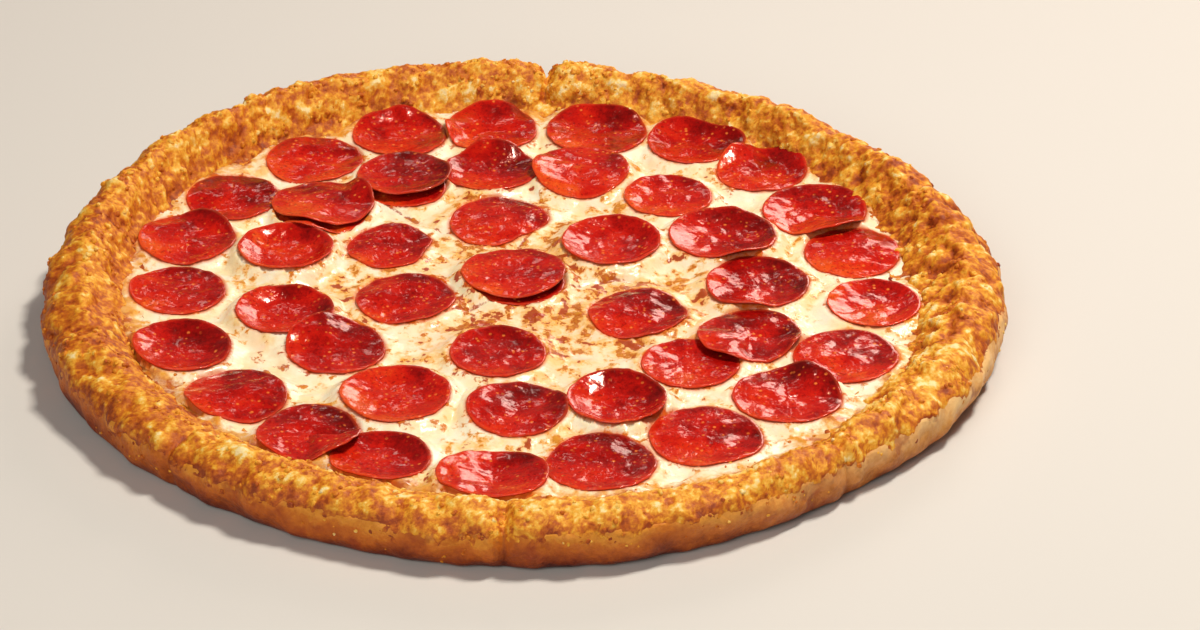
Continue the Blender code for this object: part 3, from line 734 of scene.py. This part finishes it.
# The relief mark paints light and shade: raised tips lighter, hollows darker.
total = weighed(tree, (
    (region, 0.6), (mottle, 0.8), (fleck.outputs["Fac"], 0.7), (masks["crumb"], 0.30), (masks["relief"], 0.25),
    (masks["skirt"], -0.34), (masks["wall"], -0.14), (masks["pale"], 0.10), (masks["browned"], -0.08)))
tone = add(tree, "ShaderNodeMapRange", {"Value": total, "From Min": 0.80, "From Max": 1.50}).outputs["Result"]
ramp = add(tree, "ShaderNodeValToRGB", {"Fac": tone}, stops=(
    (0.0, "#983E0C"), (0.16, "#B65410"), (0.34, "#CA6C14"), (0.52, "#E28E1C"), (0.70, "#F2B034"), (0.86, "#FACE6A"),
    (1.0, "#FFE6A8")))
stain_cloud = add(tree, "ShaderNodeTexNoise", {"Vector": place, "Scale": 1 / 0.009, "Detail": 3.0}).outputs["Fac"]
stain = add(tree, "ShaderNodeMath", {0: masks["wall"], 1: 0.45, 2: stain_cloud}, operation="MULTIPLY_ADD").outputs[0]
stained = laid_over(tree, ramp.outputs["Color"], "#96280E", stain, 0.90, 1.10, 0.7)
tree.links.new(stained, shader.inputs["Base Color"])
gloss = add(tree, "ShaderNodeMapRange", {"Value": mottle, "From Min": 0.35, "From Max": 0.65, "To Min": 0.42,
                                         "To Max": 0.7})
tree.links.new(gloss.outputs["Result"], shader.inputs["Roughness"])
grit = add(tree, "ShaderNodeTexNoise", {"Vector": place, "Scale": 1 / 0.0009, "Detail": 3.0, "Roughness": 0.7})
bump = add(tree, "ShaderNodeBump", {"Height": grit.outputs["Fac"], "Strength": 0.7, "Distance": 0.0006})
tree.links.new(bump.outputs["Normal"], shader.inputs["Normal"])

tree, given = new_tree("baked_coat_relief", ("Fold size", "Fold height", "Lump size", "Lump height", "Crumb size",
                                             "Crumb height"))
where = add(tree, "GeometryNodeInputPosition").outputs[0]
facing = add(tree, "GeometryNodeInputNormal").outputs[0]
masks = {name: add(tree, "GeometryNodeInputNamedAttribute", {"Name": name}, data_type="FLOAT").outputs["Attribute"]
         for name in ("coat", "wall", "blobby")}
lump_scale = add(tree, "ShaderNodeMath", {0: 1.0, 1: given["Lump size"]}, operation="DIVIDE").outputs[0]
crumb_scale = add(tree, "ShaderNodeMath", {0: 1.0, 1: given["Crumb size"]}, operation="DIVIDE").outputs[0]
swirl = add(tree, "ShaderNodeTexNoise", {"Vector": where, "Scale": crumb_scale, "Detail": 2.0}).outputs["Color"]
swirl_small = add(tree, "ShaderNodeVectorMath", {0: swirl, "Scale": given["Crumb size"]}, operation="SCALE").outputs[0]
swirled = add(tree, "ShaderNodeVectorMath", {0: where, 1: swirl_small}, operation="ADD").outputs[0]
lump = add(tree, "ShaderNodeTexVoronoi", {"Vector": swirled, "Scale": lump_scale, "Smoothness": 0.5},
           feature="SMOOTH_F1").outputs["Distance"]
crumb = add(tree, "ShaderNodeTexVoronoi", {"Vector": swirled, "Scale": crumb_scale})
lump_up = add(tree, "ShaderNodeMath", {0: 0.4, 1: lump}, operation="SUBTRACT").outputs[0]
crumb_up = add(tree, "ShaderNodeMath", {0: 0.45, 1: crumb.outputs["Distance"]}, operation="SUBTRACT").outputs[0]
rough_up = swell(tree, where, given["Lump size"], Detail=5.0, Roughness=0.65)
fold_up = swell(tree, where, given["Fold size"], Detail=2.0, Distortion=0.8)
fold_up = add(tree, "ShaderNodeMath", {0: fold_up, 1: masks["blobby"]}, operation="MULTIPLY").outputs[0]
more = add(tree, "ShaderNodeMath", {0: masks["blobby"], 1: 0.3, 2: 1.0}, operation="MULTIPLY_ADD").outputs[0]
less = add(tree, "ShaderNodeMath", {0: masks["wall"], 1: -0.5, 2: 1.0}, operation="MULTIPLY_ADD").outputs[0]
big = add(tree, "ShaderNodeMath", {0: rough_up, 1: 1.6, 2: lump_up}, operation="MULTIPLY_ADD").outputs[0]
big = add(tree, "ShaderNodeMath", {0: big, 1: more}, operation="MULTIPLY").outputs[0]
big = add(tree, "ShaderNodeMath", {0: big, 1: given["Lump height"]}, operation="MULTIPLY").outputs[0]
fine = add(tree, "ShaderNodeMath", {0: crumb_up, 1: less}, operation="MULTIPLY").outputs[0]
big = add(tree, "ShaderNodeMath", {0: fold_up, 1: given["Fold height"], 2: big}, operation="MULTIPLY_ADD").outputs[0]
whole = add(tree, "ShaderNodeMath", {0: fine, 1: given["Crumb height"], 2: big}, operation="MULTIPLY_ADD").outputs[0]
kept = add(tree, "ShaderNodeMath", {0: whole, 1: masks["coat"]}, operation="MULTIPLY").outputs[0]
offset = add(tree, "ShaderNodeVectorMath", {0: facing, "Scale": kept}, operation="SCALE").outputs[0]
# The relief is kept for the material, which paints a highlight on the raised tips and shade in the hollows.
share = add(tree, "ShaderNodeMath", {0: whole, 1: given["Lump height"]}, operation="DIVIDE").outputs[0]
own_tone = add(tree, "ShaderNodeSeparateXYZ", {0: crumb.outputs["Color"]}).outputs[0]
noted = add(tree, "GeometryNodeStoreNamedAttribute",
            {"Geometry": given["Geometry"], "Name": "relief", "Value": share}, data_type="FLOAT", domain="POINT")
noted = add(tree, "GeometryNodeStoreNamedAttribute",
            {"Geometry": noted.outputs[0], "Name": "crumb", "Value": own_tone}, data_type="FLOAT", domain="POINT")
moved = add(tree, "GeometryNodeSetPosition", {"Geometry": noted.outputs[0], "Offset": offset})
finish_tree(tree, moved.outputs[0], given)
grow(coat, tree, {"Fold size": 13 * MM, "Fold height": 8.0 * MM, "Lump size": 6.5 * MM, "Lump height": 1.8 * MM,
                  "Crumb size": 2.3 * MM, "Crumb height": 1.1 * MM, "Material": coat_material})
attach(coat, "root")
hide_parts("crust")

# Loose crumbs
# Bits of the grated cheese that baked on as separate grains, 1 to 2.5 mm across, stuck in the coat where they fell.
crumb_grid = bpy.data.meshes.new("crumb_grid")
bm = bmesh.new()
bmesh.ops.create_icosphere(bm, subdivisions=2, radius=1.0)
for v in bm.verts:
    v.co = v.co.normalized() * (1 + 0.35 * noise.noise(v.co * 1.7))
bm.to_mesh(crumb_grid)
bm.free()
crumb_shape = new_object("crumb_shape", crumb_grid)

tree, given = new_tree("scattered_crumbs", ("Density", "Smallest", "Largest"))
tree.interface.new_socket("Crumb", in_out="INPUT", socket_type="NodeSocketObject")
covered = add(tree, "GeometryNodeInputNamedAttribute", {"Name": "coat"}, data_type="FLOAT").outputs["Attribute"]
patch = add(tree, "ShaderNodeTexNoise", {"Scale": 1 / 0.018, "Detail": 2.0}).outputs["Fac"]
patchy = add(tree, "ShaderNodeMapRange", {"Value": patch, "From Min": 0.4, "From Max": 0.65}).outputs["Result"]
thick = add(tree, "ShaderNodeMath", {0: covered, 1: patchy}, operation="MULTIPLY").outputs[0]
spots = add(tree, "GeometryNodeDistributePointsOnFaces",
            {"Mesh": given["Geometry"], "Distance Min": given["Smallest"], "Density Max": given["Density"],
             "Density Factor": thick, "Seed": 11}, distribute_method="POISSON")
size = add(tree, "FunctionNodeRandomValue", {2: given["Smallest"], 3: given["Largest"], "Seed": 5}, data_type="FLOAT")
squat = add(tree, "FunctionNodeRandomValue", {0: (0.7, 0.7, 0.45), 1: (1.3, 1.0, 0.8), "Seed": 6},
            data_type="FLOAT_VECTOR")
spin = add(tree, "FunctionNodeRandomValue", {0: (0, 0, 0), 1: (0.5, 0.5, 6.28), "Seed": 7}, data_type="FLOAT_VECTOR")
turned = add(tree, "FunctionNodeRotateEuler", {"Rotation": spots.outputs["Rotation"], "Rotate By": spin.outputs[0]},
             space="LOCAL")
sized = add(tree, "ShaderNodeVectorMath", {0: squat.outputs[0], "Scale": size.outputs[1]}, operation="SCALE")
shape = add(tree, "GeometryNodeObjectInfo", {"Object": tree.nodes["Group Input"].outputs["Crumb"]}).outputs["Geometry"]
placed = add(tree, "GeometryNodeInstanceOnPoints",
             {"Points": spots.outputs["Points"], "Instance": shape, "Rotation": turned.outputs[0],
              "Scale": sized.outputs[0]})
tinge = add(tree, "FunctionNodeRandomValue", {2: 0.0, 3: 1.0, "Seed": 8}, data_type="FLOAT")
noted = add(tree, "GeometryNodeStoreNamedAttribute",
            {"Geometry": placed.outputs[0], "Name": "crumb", "Value": tinge.outputs[1]},
            data_type="FLOAT", domain="INSTANCE")
finish_tree(tree, noted.outputs[0], given)
scatter_tree = tree


def dusted(source, share_at):
    """A copy of a piece that tells the scattering how thickly each of its points is dusted, by its place."""
    copy = new_object(source.name + "_dusted", source.data.copy())
    spots = np.array([v.co for v in copy.data.vertices]) / MM
    mask = copy.data.attributes.get("coat") or copy.data.attributes.new("coat", "FLOAT", "POINT")
    mask.data.foreach_set("value", share_at(spots, np.arctan2(spots[:, 1], spots[:, 0])).astype(np.float32))
    return copy


edge_height = rim_points(angle, start)[:, 2]


def below_coat(spots, around):
    """Share of strays on the dough: thickest at the coat's lower edge, gone below it and at the foot."""
    gap = np.interp(around, angle, edge_height, period=2 * math.pi) - spots[:, 2]
    outside = np.hypot(spots[:, 0], spots[:, 1]) > outline_radius(around) - 0.5 * rim_width(around)
    return 0.8 * np.exp(-np.maximum(gap, 0) / 1.5) * outside * (gap > -1.5) * (spots[:, 2] > 2.5)


def cheese_border(spots, around):
    """Share of strays on the melted cheese: thickest where it meets the coat, and none under a slice."""
    inside = outline_radius(around) - rim_width(around) - np.hypot(spots[:, 0], spots[:, 1])
    return 0.7 * np.exp(-np.maximum(inside, 0) / 5.0) * (cheese_free > 0.5)


cheese_free = np.zeros(len(cheese.data.vertices))
cheese.data.attributes["soft"].data.foreach_get("value", cheese_free)
crumbs = new_object("loose_cheese_crumbs", coat.data.copy())
grow(crumbs, scatter_tree, {"Density": 60000.0, "Smallest": 0.45 * MM, "Largest": 1.3 * MM,
                            "Crumb": crumb_shape, "Material": coat_material})
strays = [grow(dusted(source, share_at), scatter_tree, {"Density": 110000.0, "Smallest": 0.3 * MM,
                                                        "Largest": 0.8 * MM, "Crumb": crumb_shape,
                                                        "Material": coat_material})
          for source, share_at in ((dough, below_coat), (cheese, cheese_border))]
with bpy.context.temp_override(active_object=crumbs, selected_editable_objects=[crumbs] + strays):
    bpy.ops.object.join()
bpy.data.objects.remove(crumb_shape, do_unlink=True)
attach(crumbs, "root")

# Herb flakes
# Dried oregano that fell on the coat before baking: leaf bits 1 to 2 mm long, baked to a dull green-brown.
flake_mesh = bpy.data.meshes.new("flake_blank")
flake_mesh.from_pydata([(-1, 0, 0), (-0.2, -0.6, 0.3), (0.9, -0.2, 0), (0.3, 0.5, 0.25), (0, 0, -0.35)], [],
                       [(0, 1, 4), (1, 2, 4), (2, 3, 4), (3, 0, 4), (3, 2, 1, 0)])
flake_shape = new_object("flake_shape", flake_mesh)

# Dry leaf: matt and dull, so the eye reads dark green-brown flecks.
herb_material, tree, shader = new_material("dried_oregano_leaf", {"Roughness": 0.7})
own_tone = add(tree, "ShaderNodeAttribute", attribute_name="crumb").outputs["Fac"]
ramp = add(tree, "ShaderNodeValToRGB", {"Fac": own_tone}, stops=(
    (0.0, "#4A3010"), (0.6, "#6A4E18"), (1.0, "#86702A")))
tree.links.new(ramp.outputs["Color"], shader.inputs["Base Color"])

herbs = new_object("dried_herb_flakes", coat.data.copy())
grow(herbs, scatter_tree, {"Density": 26000.0, "Smallest": 0.55 * MM, "Largest": 1.1 * MM, "Crumb": flake_shape,
                           "Material": herb_material})
bpy.data.objects.remove(flake_shape, do_unlink=True)
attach(herbs, "root")

# Floor, light and camera
# A plain pale floor. A warm key light high at the right throws the shadow to the left, a broad one behind the pizza
# gives the oily sheens and a faint small one the glints, and a large soft one in front opens the shadows.
floor_half = 6.0
floor_height = -0.4 * MM
floor_mesh = bpy.data.meshes.new("floor")
corners = ((-1, -1), (1, -1), (1, 1), (-1, 1))
floor_mesh.from_pydata([(floor_half * a, floor_half * b, floor_height) for a, b in corners], [], [(0, 1, 2, 3)])
floor_mesh.materials.append(new_material("pale_painted_floor", {"Base Color": linear("#D8D6D2"), "Roughness": 0.7})[0])
new_object("floor", floor_mesh)


def soft_light(name, place, size, power, colour):
    """Square area light that points at the middle of the pizza."""
    light = bpy.data.lights.new(name, "AREA")
    light.size = size
    light.energy = power
    light.color = linear(colour)[:3]
    lamp = new_object(name, light)
    lamp.location = place
    lamp.rotation_euler = (-Vector(place)).to_track_quat("-Z", "Y").to_euler()


soft_light("key", (0.55, 0.15, 1.4), 0.26, 20.5, "#FFF6E8")
soft_light("sheen", (0.56, 1.44, 0.70), 0.6, 7.6, "#FFE4D6")
soft_light("glint", (-0.22, 1.38, 0.98), 0.16, 0.4, "#FFF0E4")
soft_light("fill", (-0.5, -1.4, 1.0), 1.0, 12.0, "#FFF9F2")
world = bpy.data.worlds.new("pale_studio")
world.use_nodes = True
world.node_tree.nodes["Background"].inputs["Color"].default_value = linear("#FAEEE6")
world.node_tree.nodes["Background"].inputs["Strength"].default_value = 0.09
bpy.context.scene.world = world
bpy.context.scene.view_settings.view_transform = "Standard"

camera_pitch = math.radians(30.0)
camera_distance = 1.742
camera_aim = Vector((0.0278, 0.0076, 0.0))
camera_data = bpy.data.cameras.new("camera")
camera_data.lens = 135.0
camera_data.sensor_width = 36.0
camera = new_object("camera", camera_data)
camera.location = camera_aim + Vector((0, -math.cos(camera_pitch), math.sin(camera_pitch))) * camera_distance
camera.rotation_euler = (0.5 * math.pi - camera_pitch, 0, 0)
bpy.context.scene.camera = camera
